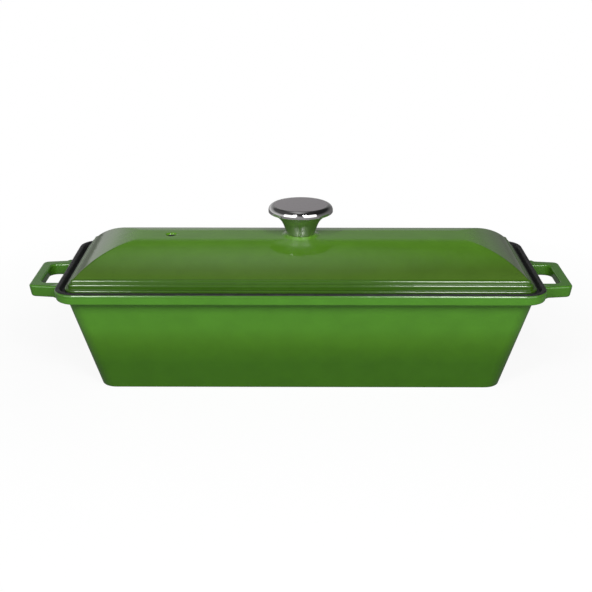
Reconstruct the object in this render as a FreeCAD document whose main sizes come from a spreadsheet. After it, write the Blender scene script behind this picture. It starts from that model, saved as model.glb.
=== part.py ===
import FreeCAD, Part
import math
import os
import Sketcher

# A lidded loaf pan of enamelled cast iron, in mm.
# The origin is the middle of the base, +X runs along the loaf, +Z is up.
# The pan, the lid, the knob and the knob's screw are the four pieces of the real thing.

doc = FreeCAD.newDocument("bread_pan")
sheet = doc.addObject("Spreadsheet::Sheet", "Sizes")

SIZES = [
    # The pan's rim, seen from above
    ("rim_length", 350.0, "outer length of the rim"),
    ("rim_width", 133.0, "outer width of the rim"),
    ("rim_corner", 17.0, "corner radius of the rim, seen from above"),
    ("rim_land", 4.1, "width of the flat top of the rim"),
    ("rim_edge", 2.0, "rounding of the rim's outer top edge"),
    ("land_edge", 1.0, "rounding of the rim's inner top edge"),
    # The pan's collar and walls
    ("pan_height", 82.0, "base to rim"),
    ("collar_height", 8.0, "depth of the thick collar under the rim"),
    ("collar_setback", 1.6, "how far the collar leans in over its depth"),
    ("collar_edge", 1.2, "rounding of the collar's lower edge"),
    ("collar_root", 1.6, "fillet between the collar and the wall"),
    ("wall_inset", 8.0, "rim's outer edge to the wall, just under the collar"),
    ("wall_angle", 14.2, "lean of the two long walls from upright, in degrees"),
    ("end_inset", 8.7, "rim's outer edge to an end wall, just under the collar"),
    ("end_angle", 14.2, "lean of the two end walls from upright, in degrees"),
    ("wall_corner", 11.0, "corner radius of the walls"),
    ("wall_thick", 4.0, "thickness of the cast walls"),
    ("floor_thick", 4.0, "thickness of the cast floor"),
    ("foot_edge", 1.5, "rounding where the walls meet the base"),
    ("floor_edge", 6.0, "fillet between the floor and the walls inside"),
    ("ledge_edge", 1.2, "rounding of the ledge's inner edge"),
    # The step in the rim that the lid sits in
    ("recess_depth", 3.5, "rim to the ledge"),
    ("recess_slope", 1.2, "how far the step's side leans in"),
    ("lid_gap", 2.5, "play between the step's side and the lid"),
    # The two handles
    ("handle_reach", 23.9, "how far a handle stands out from the rim"),
    ("handle_thick", 9.2, "thickness of a handle"),
    ("handle_drop", 6.2, "rim to a handle's top"),
    ("handle_end", 56.0, "width of a handle at its outer end"),
    ("handle_splay", 8.6, "how far each arm turns outward to the pan, in degrees"),
    ("handle_bar", 8.0, "width of the bar at the outer end"),
    ("handle_hole", 42.0, "width of the finger hole"),
    ("handle_draft", 10.0, "draft of a handle's sides, in degrees"),
    ("handle_corner", 5.0, "corner radius outside"),
    ("hole_corner", 5.0, "corner radius of the finger hole"),
    ("handle_edge", 1.6, "rounding of a handle's long edges"),
    # The lid's flange, step and shoulder, from the outside in
    ("flange_rise", 4.0, "ledge to the top of the flange"),
    ("flange_tread", 2.8, "width of the flange's top"),
    ("flange_edge", 1.1, "rounding of the flange's upper edge"),
    ("step_rise", 3.7, "flange to the top of the step"),
    ("step_tread", 2.0, "width of the step's top"),
    ("step_edge", 1.5, "rounding of the step's upper edge"),
    ("shoulder_rise", 2.6, "step to the top of the shoulder"),
    ("shoulder_tread", 1.8, "width of the shoulder's top"),
    ("shoulder_edge", 1.6, "rounding of the shoulder's upper edge"),
    ("shoulder_corner", 2.2, "corner radius of the shoulder, seen from above"),
    # The lid's arched top
    ("dome_rise", 17.4, "shoulder to the crown"),
    ("crown_width", 17.4, "width of the flat crown between the arches"),
    ("lid_wall", 4.0, "thickness of the cast lid"),
    ("vent_bore", 7.0, "bore of the steam vent"),
    ("vent_lip", 1.5, "rounding of the vent's mouth"),
    ("vent_inset", 79.0, "end of the rim to the vent"),
    # The knob, its seat and its screw
    ("boss_radius", 10.0, "radius of the knob's seat"),
    ("boss_flare", 16.0, "radius where the seat runs out into the crown"),
    ("boss_rise", 1.0, "height of the seat over the crown"),
    ("boss_sink", 0.45, "how far the seat's foot runs below the crown"),
    ("knob_radius", 23.7, "largest radius of the knob"),
    ("knob_height", 22.2, "seat to the knob's flat top"),
    ("knob_bead", 4.0, "rounding of the knob's upper edge"),
    ("knob_side", 1.4, "height of the upright side under that rounding"),
    ("knob_edge", 0.5, "rounding of the knob's lower edge"),
    ("knob_foot", 10.0, "radius of the knob's foot"),
    ("knob_taper", 21.0, "lean of the knob's stem from upright, in degrees"),
    ("knob_flare", 24.0, "rise of the knob's underside to its rim, in degrees"),
    ("knob_neck", 15.2, "radius between the stem and the underside"),
    ("screw_size", 6.0, "thread size of the knob's screw"),
    ("screw_bite", 13.0, "length of screw in the knob"),
    ("bore_play", 0.1, "how much wider the knob's bore is than the screw"),
    ("bore_spare", 2.0, "how much deeper the knob's bore is than the screw"),
    ("hole_play", 0.6, "how much wider the lid's hole is than the screw"),
    ("screw_flange", 16.0, "diameter of the flange under the screw's head"),
    ("flange_thick", 1.2, "thickness of that flange"),
    ("head_size", 11.0, "diameter of the screw's head"),
    ("head_height", 3.2, "height of the screw's head under its flange"),
    ("head_edge", 1.2, "rounding of the screw's head"),
    ("slot_length", 6.4, "length of each slot of the cross in the head"),
    ("slot_width", 1.4, "width of each slot"),
    ("slot_depth", 1.8, "depth of the slots"),
]

for row, (alias, size, meaning) in enumerate(SIZES, start=1):
    sheet.set(f"A{row}", alias)
    sheet.set(f"B{row}", str(size))
    sheet.set(f"C{row}", meaning)
    sheet.setAlias(f"B{row}", alias)
doc.recompute()

# Places worked out from the sizes, as expressions of the sheet's cells.
# An inset is measured inward from the rim's outer edge.
SHOULDER_Z = "(Sizes.pan_height - Sizes.collar_height)"
LEDGE_Z = "(Sizes.pan_height - Sizes.recess_depth)"
HANDLE_TOP_Z = "(Sizes.pan_height - Sizes.handle_drop)"


def foot_inset(wall):
    """The outer wall's inset at the base, for a wall of an inset at its top and a lean."""
    top, lean = wall
    return f"({top} + {SHOULDER_Z} * tan({lean}))"


def inner_inset(wall, height):
    """The inner wall's inset at a height, for a wall of an inset at its top and a lean."""
    lean = wall[1]
    return f"({foot_inset(wall)} - {height} * tan({lean}) + Sizes.wall_thick / cos({lean}))"


SIDE_WALL = ("Sizes.wall_inset", "Sizes.wall_angle")
END_WALL = ("Sizes.end_inset", "Sizes.end_angle")
MOUTH_INSET = inner_inset(SIDE_WALL, LEDGE_Z)
CAVITY_CORNER = "(Sizes.wall_corner - Sizes.wall_thick)"
RECESS_INSET = "(Sizes.rim_land + Sizes.recess_slope)"
FLANGE_INSET = f"({RECESS_INSET} + Sizes.lid_gap)"
STEP_INSET = f"({FLANGE_INSET} + Sizes.flange_tread)"
SHOULDER_INSET = f"({STEP_INSET} + Sizes.step_tread)"
DOME_INSET = f"({SHOULDER_INSET} + Sizes.shoulder_tread)"
CORE_INSET = f"({STEP_INSET} + Sizes.lid_wall)"
SPRING_Z = f"({LEDGE_Z} + Sizes.flange_rise + Sizes.step_rise + Sizes.shoulder_rise)"
CROWN_Z = f"({SPRING_Z} + Sizes.dome_rise)"
SEAT_Z = f"({CROWN_Z} + Sizes.boss_rise)"
KNOB_SIDE_Z = f"({SEAT_Z} + Sizes.knob_height - Sizes.knob_bead - Sizes.knob_side)"
UNDERSIDE_Z = f"({CROWN_Z} - Sizes.lid_wall)"
HALF_LENGTH = "(Sizes.rim_length / 2)"
HALF_WIDTH = "(Sizes.rim_width / 2)"
CROWN_HALF = "(Sizes.crown_width / 2)"
VENT_X = f"(Sizes.vent_inset - {HALF_LENGTH})"
ARCH_RUN = f"({HALF_WIDTH} - {DOME_INSET} - {CROWN_HALF})"
ARCH_RADIUS = f"(({ARCH_RUN} * {ARCH_RUN} + Sizes.dome_rise * Sizes.dome_rise) / (2 * Sizes.dome_rise))"
NEAR = 0.01
ORIGIN = (-1, 1)
UPRIGHT = (-2,)


def value(expression):
    """The number that an expression of the sheet's cells gives."""
    return float(sheet.evalExpression(expression))


def new_body(name):
    return doc.addObject("PartDesign::Body", name)


def new_sketch(body, name, role, height="0"):
    """A sketch on one of the body's own planes, moved along the plane's normal."""
    sketch = body.newObject("Sketcher::SketchObject", name)
    for plane in body.Origin.OriginFeatures:
        if plane.Role == role:
            sketch.AttachmentSupport = (plane, [""])
    sketch.MapMode = "FlatFace"
    sketch.setExpression("AttachmentOffset.Base.z", height)
    return sketch


def bind(sketch, label, expression, kind, *where):
    """A dimension of the sketch, bound to the sheet."""
    datum = value(expression)
    if kind == "Angle":
        datum = math.radians(datum)
        expression = f"({expression}) * 1 deg"
    index = sketch.addConstraint(Sketcher.Constraint(kind, *where, datum))
    sketch.renameConstraint(index, label)
    sketch.setExpression(f".Constraints.{label}", expression)


def join(sketch, kind, *where):
    sketch.addConstraint(Sketcher.Constraint(kind, *where))


def point(x, y):
    return FreeCAD.Vector(x, y, 0)


def draw_round_box(sketch, length, width, corner):
    """A rectangle with round corners about the sketch's origin."""
    half_x = value(length) / 2
    half_y = value(width) / 2
    radius = value(corner)
    turns = [(1, -1), (1, 1), (-1, 1), (-1, -1)]
    for turn, (side_x, side_y) in enumerate(turns):
        before = turns[turn - 1]
        centre = point(side_x * (half_x - radius), side_y * (half_y - radius))
        centre_before = point(before[0] * (half_x - radius), before[1] * (half_y - radius))
        start = math.radians(90 * turn - 90)
        out = point(math.cos(start), math.sin(start)) * radius
        sketch.addGeometry(Part.LineSegment(centre_before + out, centre + out))
        circle = Part.Circle(centre, FreeCAD.Vector(0, 0, 1), radius)
        sketch.addGeometry(Part.ArcOfCircle(circle, start, start + math.pi / 2))
    for turn in range(4):
        line, arc = 2 * turn, 2 * turn + 1
        join(sketch, "Tangent", line, 2, arc, 1)
        join(sketch, "Tangent", arc, 2, (line + 2) % 8, 1)
    for line in (0, 4):
        join(sketch, "Horizontal", line)
    for line in (2, 6):
        join(sketch, "Vertical", line)
    for arc in (3, 5, 7):
        join(sketch, "Equal", 1, arc)
    join(sketch, "Symmetric", 1, 3, 5, 3, *ORIGIN)
    bind(sketch, "length", length, "DistanceX", 6, 1, 2, 1)
    bind(sketch, "width", width, "DistanceY", 0, 1, 4, 1)
    bind(sketch, "corner", corner, "Radius", 1)


def draw_polygon(sketch, corners):
    """A closed outline of straight edges: each corner is its two coordinates."""
    places = [point(value(x), value(y)) for x, y in corners]
    count = len(places)
    for number in range(count):
        sketch.addGeometry(Part.LineSegment(places[number], places[(number + 1) % count]))
    for number, (x, y) in enumerate(corners):
        join(sketch, "Coincident", number - 1 if number else count - 1, 2, number, 1)
        bind(sketch, f"x{number}", x, "DistanceX", *ORIGIN, number, 1)
        bind(sketch, f"y{number}", y, "DistanceY", *ORIGIN, number, 1)


def draw_circle(sketch, x, y, diameter):
    centre = point(value(x), value(y))
    sketch.addGeometry(Part.Circle(centre, FreeCAD.Vector(0, 0, 1), value(diameter) / 2))
    bind(sketch, "bore", diameter, "Diameter", 0)
    bind(sketch, "x", x, "DistanceX", *ORIGIN, 0, 3)
    bind(sketch, "y", y, "DistanceY", *ORIGIN, 0, 3)


def draw_arch(sketch, half_span, crown_half, foot, crown, radius):
    """A flat crown that runs down on both sides in one arc each, to upright sides."""
    span, flat = value(half_span), value(crown_half)
    low, high = value(foot), value(crown)
    bend = value(radius)
    middle = high - bend
    spring = middle + math.sqrt(bend ** 2 - (span - flat) ** 2)
    lean = math.atan2(spring - middle, span - flat)
    up = FreeCAD.Vector(0, 0, 1)
    sketch.addGeometry(Part.LineSegment(point(-span, low), point(span, low)))
    sketch.addGeometry(Part.LineSegment(point(span, low), point(span, spring)))
    right = Part.Circle(point(flat, middle), up, bend)
    sketch.addGeometry(Part.ArcOfCircle(right, lean, math.pi / 2))
    sketch.addGeometry(Part.LineSegment(point(flat, high), point(-flat, high)))
    left = Part.Circle(point(-flat, middle), up, bend)
    sketch.addGeometry(Part.ArcOfCircle(left, math.pi / 2, math.pi - lean))
    sketch.addGeometry(Part.LineSegment(point(-span, spring), point(-span, low)))
    for first, second in ((0, 1), (1, 2), (4, 5), (5, 0)):
        join(sketch, "Coincident", first, 2, second, 1)
    join(sketch, "Tangent", 2, 2, 3, 1)
    join(sketch, "Tangent", 3, 2, 4, 1)
    join(sketch, "Vertical", 1)
    join(sketch, "Vertical", 5)
    join(sketch, "Symmetric", 0, 1, 0, 2, *UPRIGHT)
    join(sketch, "Symmetric", 3, 1, 3, 2, *UPRIGHT)
    join(sketch, "Equal", 2, 4)
    bind(sketch, "radius", radius, "Radius", 2)
    bind(sketch, "half_span", half_span, "DistanceX", *ORIGIN, 0, 2)
    bind(sketch, "crown_half", crown_half, "DistanceX", *ORIGIN, 3, 1)
    bind(sketch, "foot", foot, "DistanceY", *ORIGIN, 0, 2)
    bind(sketch, "crown", crown, "DistanceY", *ORIGIN, 3, 1)


def add_loft(body, name, kind, first, second):
    loft = body.newObject(f"PartDesign::{kind}Loft", name)
    loft.Profile = first
    loft.Sections = [second]
    loft.Ruled = True
    doc.recompute()
    return loft


def add_pad(body, name, sketch, length, reverse=False, both_ways=False):
    pad = body.newObject("PartDesign::Pad", name)
    pad.Profile = sketch
    pad.Reversed = reverse
    pad.Midplane = both_ways
    pad.setExpression("Length", length)
    doc.recompute()
    return pad


def add_through_pocket(body, name, sketch):
    pocket = body.newObject("PartDesign::Pocket", name)
    pocket.Profile = sketch
    pocket.Type = "ThroughAll"
    pocket.Midplane = True
    doc.recompute()
    return pocket


def add_turning(body, name, sketch):
    turning = body.newObject("PartDesign::Revolution", name)
    turning.Profile = sketch
    turning.ReferenceAxis = (sketch, ["V_Axis"])
    turning.Angle = 360
    doc.recompute()
    return turning


def add_boolean(body, name, kind, others):
    boolean = body.newObject("PartDesign::Boolean", name)
    boolean.Type = kind
    boolean.setObjects(others)
    doc.recompute()
    return boolean


def add_fillet(body, name, base, radius, wanted):
    """A fillet on every edge of the base feature that the test asks for."""
    names = [
        f"Edge{number}"
        for number, edge in enumerate(base.Shape.Edges, start=1)
        if wanted(edge)
    ]
    fillet = body.newObject("PartDesign::Fillet", name)
    fillet.Base = (base, names)
    fillet.setExpression("Radius", radius)
    doc.recompute()
    return fillet


def middle_of(edge):
    return edge.valueAt((edge.FirstParameter + edge.LastParameter) / 2)


def lies_at(edge, height):
    """Whether the whole edge lies at one height."""
    box = edge.BoundBox
    return abs(box.ZMin - height) < NEAR and abs(box.ZMax - height) < NEAR


def rim_inset(place):
    """How far a place lies inside the rim's outer edge, seen from above."""
    corner = value("Sizes.rim_corner")
    out_x = abs(place.x) - (value(HALF_LENGTH) - corner)
    out_y = abs(place.y) - (value(HALF_WIDTH) - corner)
    if out_x > 0 and out_y > 0:
        return corner - math.hypot(out_x, out_y)
    return corner - max(out_x, out_y)


def box_length(inset):
    return f"Sizes.rim_length - 2 * {inset}"


def box_width(inset):
    return f"Sizes.rim_width - 2 * {inset}"


def inset_corner(inset):
    """The corner radius of the rim's outline drawn further in."""
    return f"Sizes.rim_corner - {inset}"


def rim_sketch(body, name, height, inset, corner, end_inset=None):
    """The rim's outline drawn further in, by its own inset at the two ends if that is given."""
    sketch = new_sketch(body, name, "XY_Plane", height)
    draw_round_box(sketch, box_length(end_inset or inset), box_width(inset), corner)
    return sketch


def make_handle(name, side):
    """A flat loop whose two arms run into the pan's wall."""
    body = new_body(name)
    sketch = new_sketch(body, f"{name}_outline", "XY_Plane", HANDLE_TOP_Z)
    outer_x = f"({HALF_LENGTH} + Sizes.handle_reach)"
    hole_x = f"({outer_x} - Sizes.handle_bar)"
    root_x = f"({HALF_LENGTH} - Sizes.wall_inset - 2 * Sizes.wall_thick)"
    end_y = "(Sizes.handle_end / 2)"
    root_y = f"({end_y} + ({outer_x} - {root_x}) * tan(Sizes.handle_splay))"
    hole_y = "(Sizes.handle_hole / 2)"
    upper_half = [(root_x, hole_y), (root_x, root_y), (outer_x, end_y)]
    lower_half = [(x, f"-{y}") for x, y in reversed(upper_half)]
    hole = [(hole_x, f"-{hole_y}"), (hole_x, hole_y)]
    outline = upper_half + lower_half + hole
    draw_polygon(sketch, [(f"{side} * {x}", y) for x, y in outline])
    pad = add_pad(body, f"{name}_plate", sketch, "Sizes.handle_thick", reverse=True)
    pad.setExpression("TaperAngle", "-Sizes.handle_draft")
    doc.recompute()

    def is_upright(edge):
        return edge.BoundBox.ZLength > value("Sizes.handle_thick") / 2

    def is_end_corner(edge):
        reach = abs(middle_of(edge).x) - value(HALF_LENGTH)
        return is_upright(edge) and reach > value("Sizes.handle_reach - Sizes.handle_bar / 2")

    def is_hole_corner(edge):
        reach = abs(middle_of(edge).x) - value(HALF_LENGTH)
        return is_upright(edge) and reach > 0 and not is_end_corner(edge)

    def is_long_edge(edge):
        root_end = abs(middle_of(edge).x) < value(f"{root_x} + Sizes.handle_thick / 2")
        return not is_upright(edge) and not root_end

    ends = add_fillet(body, f"{name}_end_corners", pad, "Sizes.handle_corner", is_end_corner)
    holes = add_fillet(body, f"{name}_hole_corners", ends, "Sizes.hole_corner", is_hole_corner)
    add_fillet(body, f"{name}_edges", holes, "Sizes.handle_edge", is_long_edge)
    return body


def make_pan():
    """The pan in one casting: walls, collar, rim with its step, and two handles."""
    body = new_body("pan")
    foot = rim_sketch(body, "foot_outline", "0", foot_inset(SIDE_WALL), "Sizes.wall_corner",
                      foot_inset(END_WALL))
    shoulder = rim_sketch(body, "wall_top_outline", SHOULDER_Z, "Sizes.wall_inset", "Sizes.wall_corner",
                          "Sizes.end_inset")
    add_loft(body, "walls", "Additive", foot, shoulder)
    lower = rim_sketch(body, "collar_lower_outline", SHOULDER_Z, "Sizes.collar_setback",
                       inset_corner("Sizes.collar_setback"))
    upper = rim_sketch(body, "rim_outline", "Sizes.pan_height", "0", "Sizes.rim_corner")
    collar = add_loft(body, "collar", "Additive", lower, upper)
    base_round = add_fillet(body, "base_rounding", collar, "Sizes.foot_edge",
                            lambda edge: lies_at(edge, 0))
    underside = value("(Sizes.collar_setback + Sizes.wall_inset) / 2")
    collar_round = add_fillet(
        body, "collar_rounding", base_round, "Sizes.collar_edge",
        lambda edge: lies_at(edge, value(SHOULDER_Z)) and rim_inset(middle_of(edge)) < underside)
    root = add_fillet(
        body, "collar_fillet", collar_round, "Sizes.collar_root",
        lambda edge: lies_at(edge, value(SHOULDER_Z)) and rim_inset(middle_of(edge)) > underside)
    add_fillet(body, "rim_rounding", root, "Sizes.rim_edge",
               lambda edge: lies_at(edge, value("Sizes.pan_height")))
    handles = [make_handle("right_handle", 1), make_handle("left_handle", -1)]
    add_boolean(body, "handles", "Fuse", handles)
    ledge_outer = rim_sketch(body, "ledge_outline", LEDGE_Z, RECESS_INSET, inset_corner(RECESS_INSET))
    land_inner = rim_sketch(body, "land_outline", "Sizes.pan_height", "Sizes.rim_land",
                            inset_corner("Sizes.rim_land"))
    add_loft(body, "lid_step", "Subtractive", ledge_outer, land_inner)
    floor = rim_sketch(body, "floor_outline", "Sizes.floor_thick",
                       inner_inset(SIDE_WALL, "Sizes.floor_thick"), CAVITY_CORNER,
                       inner_inset(END_WALL, "Sizes.floor_thick"))
    mouth = rim_sketch(body, "mouth_outline", LEDGE_Z, MOUTH_INSET, CAVITY_CORNER,
                       inner_inset(END_WALL, LEDGE_Z))
    cavity = add_loft(body, "cavity", "Subtractive", floor, mouth)
    floor_round = add_fillet(body, "floor_fillet", cavity, "Sizes.floor_edge",
                             lambda edge: lies_at(edge, value("Sizes.floor_thick")))
    ledge_middle = value(f"({RECESS_INSET} + {MOUTH_INSET}) / 2")
    ledge_round = add_fillet(
        body, "ledge_rounding", floor_round, "Sizes.ledge_edge",
        lambda edge: lies_at(edge, value(LEDGE_Z)) and rim_inset(middle_of(edge)) > ledge_middle)
    land_middle = value("Sizes.rim_land - Sizes.land_edge")
    add_fillet(
        body, "land_rounding", ledge_round, "Sizes.land_edge",
        lambda edge: lies_at(edge, value("Sizes.pan_height")) and rim_inset(middle_of(edge)) > land_middle)
    return body


def draw_arches(body, name, inset, radius, crown):
    """The body becomes what an arch along X and an arch along Y have in common."""
    along = new_sketch(body, f"{name}_section", "YZ_Plane")
    draw_arch(along, f"{HALF_WIDTH} - {inset}", CROWN_HALF, LEDGE_Z, crown, radius)
    add_pad(body, f"{name}_arch", along, box_length(inset), both_ways=True)
    other = new_body(f"{name}_ends")
    across = new_sketch(other, f"{name}_end_section", "XZ_Plane")
    end_crown = f"({HALF_LENGTH} - {HALF_WIDTH} + {CROWN_HALF})"
    draw_arch(across, f"{HALF_LENGTH} - {inset}", end_crown, LEDGE_Z, crown, radius)
    add_pad(other, f"{name}_end_arch", across, box_width(inset), both_ways=True)
    return add_boolean(body, f"{name}_mitred", "Common", [other])


def add_lid_step(body, name, inset, corner, rise):
    """One step of the lid's border, from the ledge up, with a round upper edge."""
    sketch = rim_sketch(body, f"{name}_outline", LEDGE_Z, inset, corner)
    pad = add_pad(body, name, sketch, rise)
    height = value(LEDGE_Z) + value(rise)
    tread_middle = value(f"{inset} + Sizes.{name}_tread / 2")

    def is_upper_edge(edge):
        return lies_at(edge, height) and rim_inset(middle_of(edge)) < tread_middle

    return add_fillet(body, f"{name}_rounding", pad, f"Sizes.{name}_edge", is_upper_edge)


def draw_boss(sketch):
    """Half the section of the knob's seat, which runs out into the crown in one arc."""
    seat = value("Sizes.boss_radius")
    flare = value("Sizes.boss_flare")
    top, foot = value(SEAT_Z), value(f"{CROWN_Z} - Sizes.boss_sink")
    buried = value(UNDERSIDE_Z)
    rise, run = top - foot, flare - seat
    bend = (run ** 2 + rise ** 2) / (2 * rise)
    start = math.atan2(top - (foot + bend), -run)
    circle = Part.Circle(point(flare, foot + bend), FreeCAD.Vector(0, 0, 1), bend)
    sketch.addGeometry(Part.LineSegment(point(0, buried), point(flare, buried)))
    sketch.addGeometry(Part.LineSegment(point(flare, buried), point(flare, foot)))
    sketch.addGeometry(Part.ArcOfCircle(circle, start, -math.pi / 2))
    sketch.addGeometry(Part.LineSegment(point(seat, top), point(0, top)))
    sketch.addGeometry(Part.LineSegment(point(0, top), point(0, buried)))
    join(sketch, "Coincident", 0, 2, 1, 1)
    join(sketch, "Perpendicular", 1, 2, 2, 2)
    join(sketch, "Coincident", 2, 1, 3, 1)
    join(sketch, "Coincident", 3, 2, 4, 1)
    join(sketch, "Coincident", 4, 2, 0, 1)
    join(sketch, "Horizontal", 0)
    join(sketch, "Vertical", 1)
    join(sketch, "Horizontal", 3)
    join(sketch, "PointOnObject", 4, 1, *UPRIGHT)
    join(sketch, "PointOnObject", 4, 2, *UPRIGHT)
    bind(sketch, "seat", "Sizes.boss_radius", "DistanceX", *ORIGIN, 3, 1)
    bind(sketch, "flare", "Sizes.boss_flare", "DistanceX", *ORIGIN, 1, 1)
    bind(sketch, "top", SEAT_Z, "DistanceY", *ORIGIN, 3, 1)
    bind(sketch, "foot", f"{CROWN_Z} - Sizes.boss_sink", "DistanceY", *ORIGIN, 1, 2)
    bind(sketch, "buried", UNDERSIDE_Z, "DistanceY", *ORIGIN, 1, 1)


def make_lid():
    """The lid in one casting: three steps round an arched top, a vent and a knob seat."""
    body = new_body("lid")
    draw_arches(body, "dome", DOME_INSET, ARCH_RADIUS, CROWN_Z)
    add_lid_step(body, "flange", FLANGE_INSET, inset_corner(FLANGE_INSET), "Sizes.flange_rise")
    add_lid_step(body, "step", STEP_INSET, "Sizes.shoulder_corner + Sizes.step_tread",
                 "Sizes.flange_rise + Sizes.step_rise")
    add_lid_step(body, "shoulder", SHOULDER_INSET, "Sizes.shoulder_corner",
                 "Sizes.flange_rise + Sizes.step_rise + Sizes.shoulder_rise")
    boss = new_sketch(body, "seat_section", "XZ_Plane")
    draw_boss(boss)
    add_turning(body, "seat", boss)
    screw_hole = new_sketch(body, "screw_hole_outline", "XY_Plane", SEAT_Z)
    draw_circle(screw_hole, "0", "0", "Sizes.screw_size + Sizes.hole_play")
    add_through_pocket(body, "screw_hole", screw_hole)
    vent = new_sketch(body, "vent_outline", "XY_Plane", CROWN_Z)
    draw_circle(vent, VENT_X, "0", "Sizes.vent_bore")
    vent_hole = add_through_pocket(body, "vent", vent)
    reach = value("Sizes.vent_bore")

    def is_vent_mouth(edge):
        box = edge.BoundBox
        near_vent = abs(box.Center.x - value(VENT_X)) < reach
        return lies_at(edge, value(CROWN_Z)) and near_vent and box.XLength < 2 * reach

    add_fillet(body, "vent_rounding", vent_hole, "Sizes.vent_lip", is_vent_mouth)
    core = new_body("lid_hollow")
    draw_arches(core, "hollow", CORE_INSET, f"{ARCH_RADIUS} - Sizes.lid_wall", UNDERSIDE_Z)
    add_boolean(body, "hollowed", "Cut", [core])
    return body


def draw_knob(sketch):
    """Half the knob's section: flat top, round rim, hollow neck and tapered stem."""
    radius = value("Sizes.knob_radius")
    bead = value("Sizes.knob_bead")
    rim = radius - bead
    foot_radius, foot_z = value("Sizes.knob_foot"), value(SEAT_Z)
    top_z = foot_z + value("Sizes.knob_height")
    neck = value("Sizes.knob_neck")
    flare = math.radians(value("Sizes.knob_flare"))
    taper = math.radians(value("Sizes.knob_taper"))
    across = point(math.cos(flare), math.sin(flare))
    upward = point(math.sin(taper), math.cos(taper))
    outward = point(math.sin(flare), -math.cos(flare))
    side_top = point(radius, top_z - bead)
    side_foot = point(radius, value(KNOB_SIDE_Z))
    foot = point(foot_radius, foot_z)
    gap = side_foot - foot
    climb = (gap.x * across.y - gap.y * across.x) / (upward.x * across.y - upward.y * across.x)
    meeting = foot + upward * climb
    turn = math.pi / 2 - taper - flare
    trim = neck * math.tan(turn / 2)
    neck_start = meeting + across * trim
    neck_end = meeting - upward * trim
    neck_centre = neck_start + outward * neck
    normal = FreeCAD.Vector(0, 0, 1)
    sketch.addGeometry(Part.LineSegment(point(0, foot_z), point(0, top_z)))
    sketch.addGeometry(Part.LineSegment(point(0, top_z), point(rim, top_z)))
    bead_circle = Part.Circle(point(rim, top_z - bead), normal, bead)
    sketch.addGeometry(Part.ArcOfCircle(bead_circle, 0, math.pi / 2))
    sketch.addGeometry(Part.LineSegment(side_top, side_foot))
    sketch.addGeometry(Part.LineSegment(side_foot, neck_start))
    neck_circle = Part.Circle(neck_centre, normal, neck)
    sketch.addGeometry(Part.ArcOfCircle(neck_circle, math.pi / 2 + flare, math.pi - taper))
    sketch.addGeometry(Part.LineSegment(neck_end, foot))
    sketch.addGeometry(Part.LineSegment(foot, point(0, foot_z)))
    join(sketch, "PointOnObject", 0, 1, *UPRIGHT)
    join(sketch, "PointOnObject", 0, 2, *UPRIGHT)
    join(sketch, "Coincident", 0, 2, 1, 1)
    join(sketch, "Horizontal", 1)
    join(sketch, "Tangent", 1, 2, 2, 2)
    join(sketch, "Tangent", 2, 1, 3, 1)
    join(sketch, "Vertical", 3)
    join(sketch, "Coincident", 3, 2, 4, 1)
    join(sketch, "Tangent", 4, 2, 5, 1)
    join(sketch, "Tangent", 5, 2, 6, 1)
    join(sketch, "Coincident", 6, 2, 7, 1)
    join(sketch, "Horizontal", 7)
    join(sketch, "Coincident", 7, 2, 0, 1)
    bind(sketch, "bead", "Sizes.knob_bead", "Radius", 2)
    bind(sketch, "neck", "Sizes.knob_neck", "Radius", 5)
    bind(sketch, "rim", "Sizes.knob_radius - Sizes.knob_bead", "DistanceX", *ORIGIN, 2, 3)
    bind(sketch, "side", KNOB_SIDE_Z, "DistanceY", *ORIGIN, 3, 2)
    bind(sketch, "top", f"{SEAT_Z} + Sizes.knob_height", "DistanceY", *ORIGIN, 0, 2)
    bind(sketch, "seat", SEAT_Z, "DistanceY", *ORIGIN, 0, 1)
    bind(sketch, "foot", "Sizes.knob_foot", "DistanceX", *ORIGIN, 7, 1)
    bind(sketch, "flare", "180 + Sizes.knob_flare", "Angle", 4)
    bind(sketch, "taper", "270 - Sizes.knob_taper", "Angle", 6)


def make_knob():
    """The turned knob, drilled from below for its screw."""
    body = new_body("knob")
    section = new_sketch(body, "knob_section", "XZ_Plane")
    draw_knob(section)
    turned = add_turning(body, "turning", section)
    add_fillet(body, "lower_rounding", turned, "Sizes.knob_edge",
               lambda edge: lies_at(edge, value(KNOB_SIDE_Z)))
    bore = new_sketch(body, "bore_outline", "XY_Plane", SEAT_Z)
    draw_circle(bore, "0", "0", "Sizes.screw_size + Sizes.bore_play")
    pocket = body.newObject("PartDesign::Pocket", "bore")
    pocket.Profile = bore
    pocket.Reversed = True
    pocket.setExpression("Length", "Sizes.screw_bite + Sizes.bore_spare")
    doc.recompute()
    return body


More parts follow.
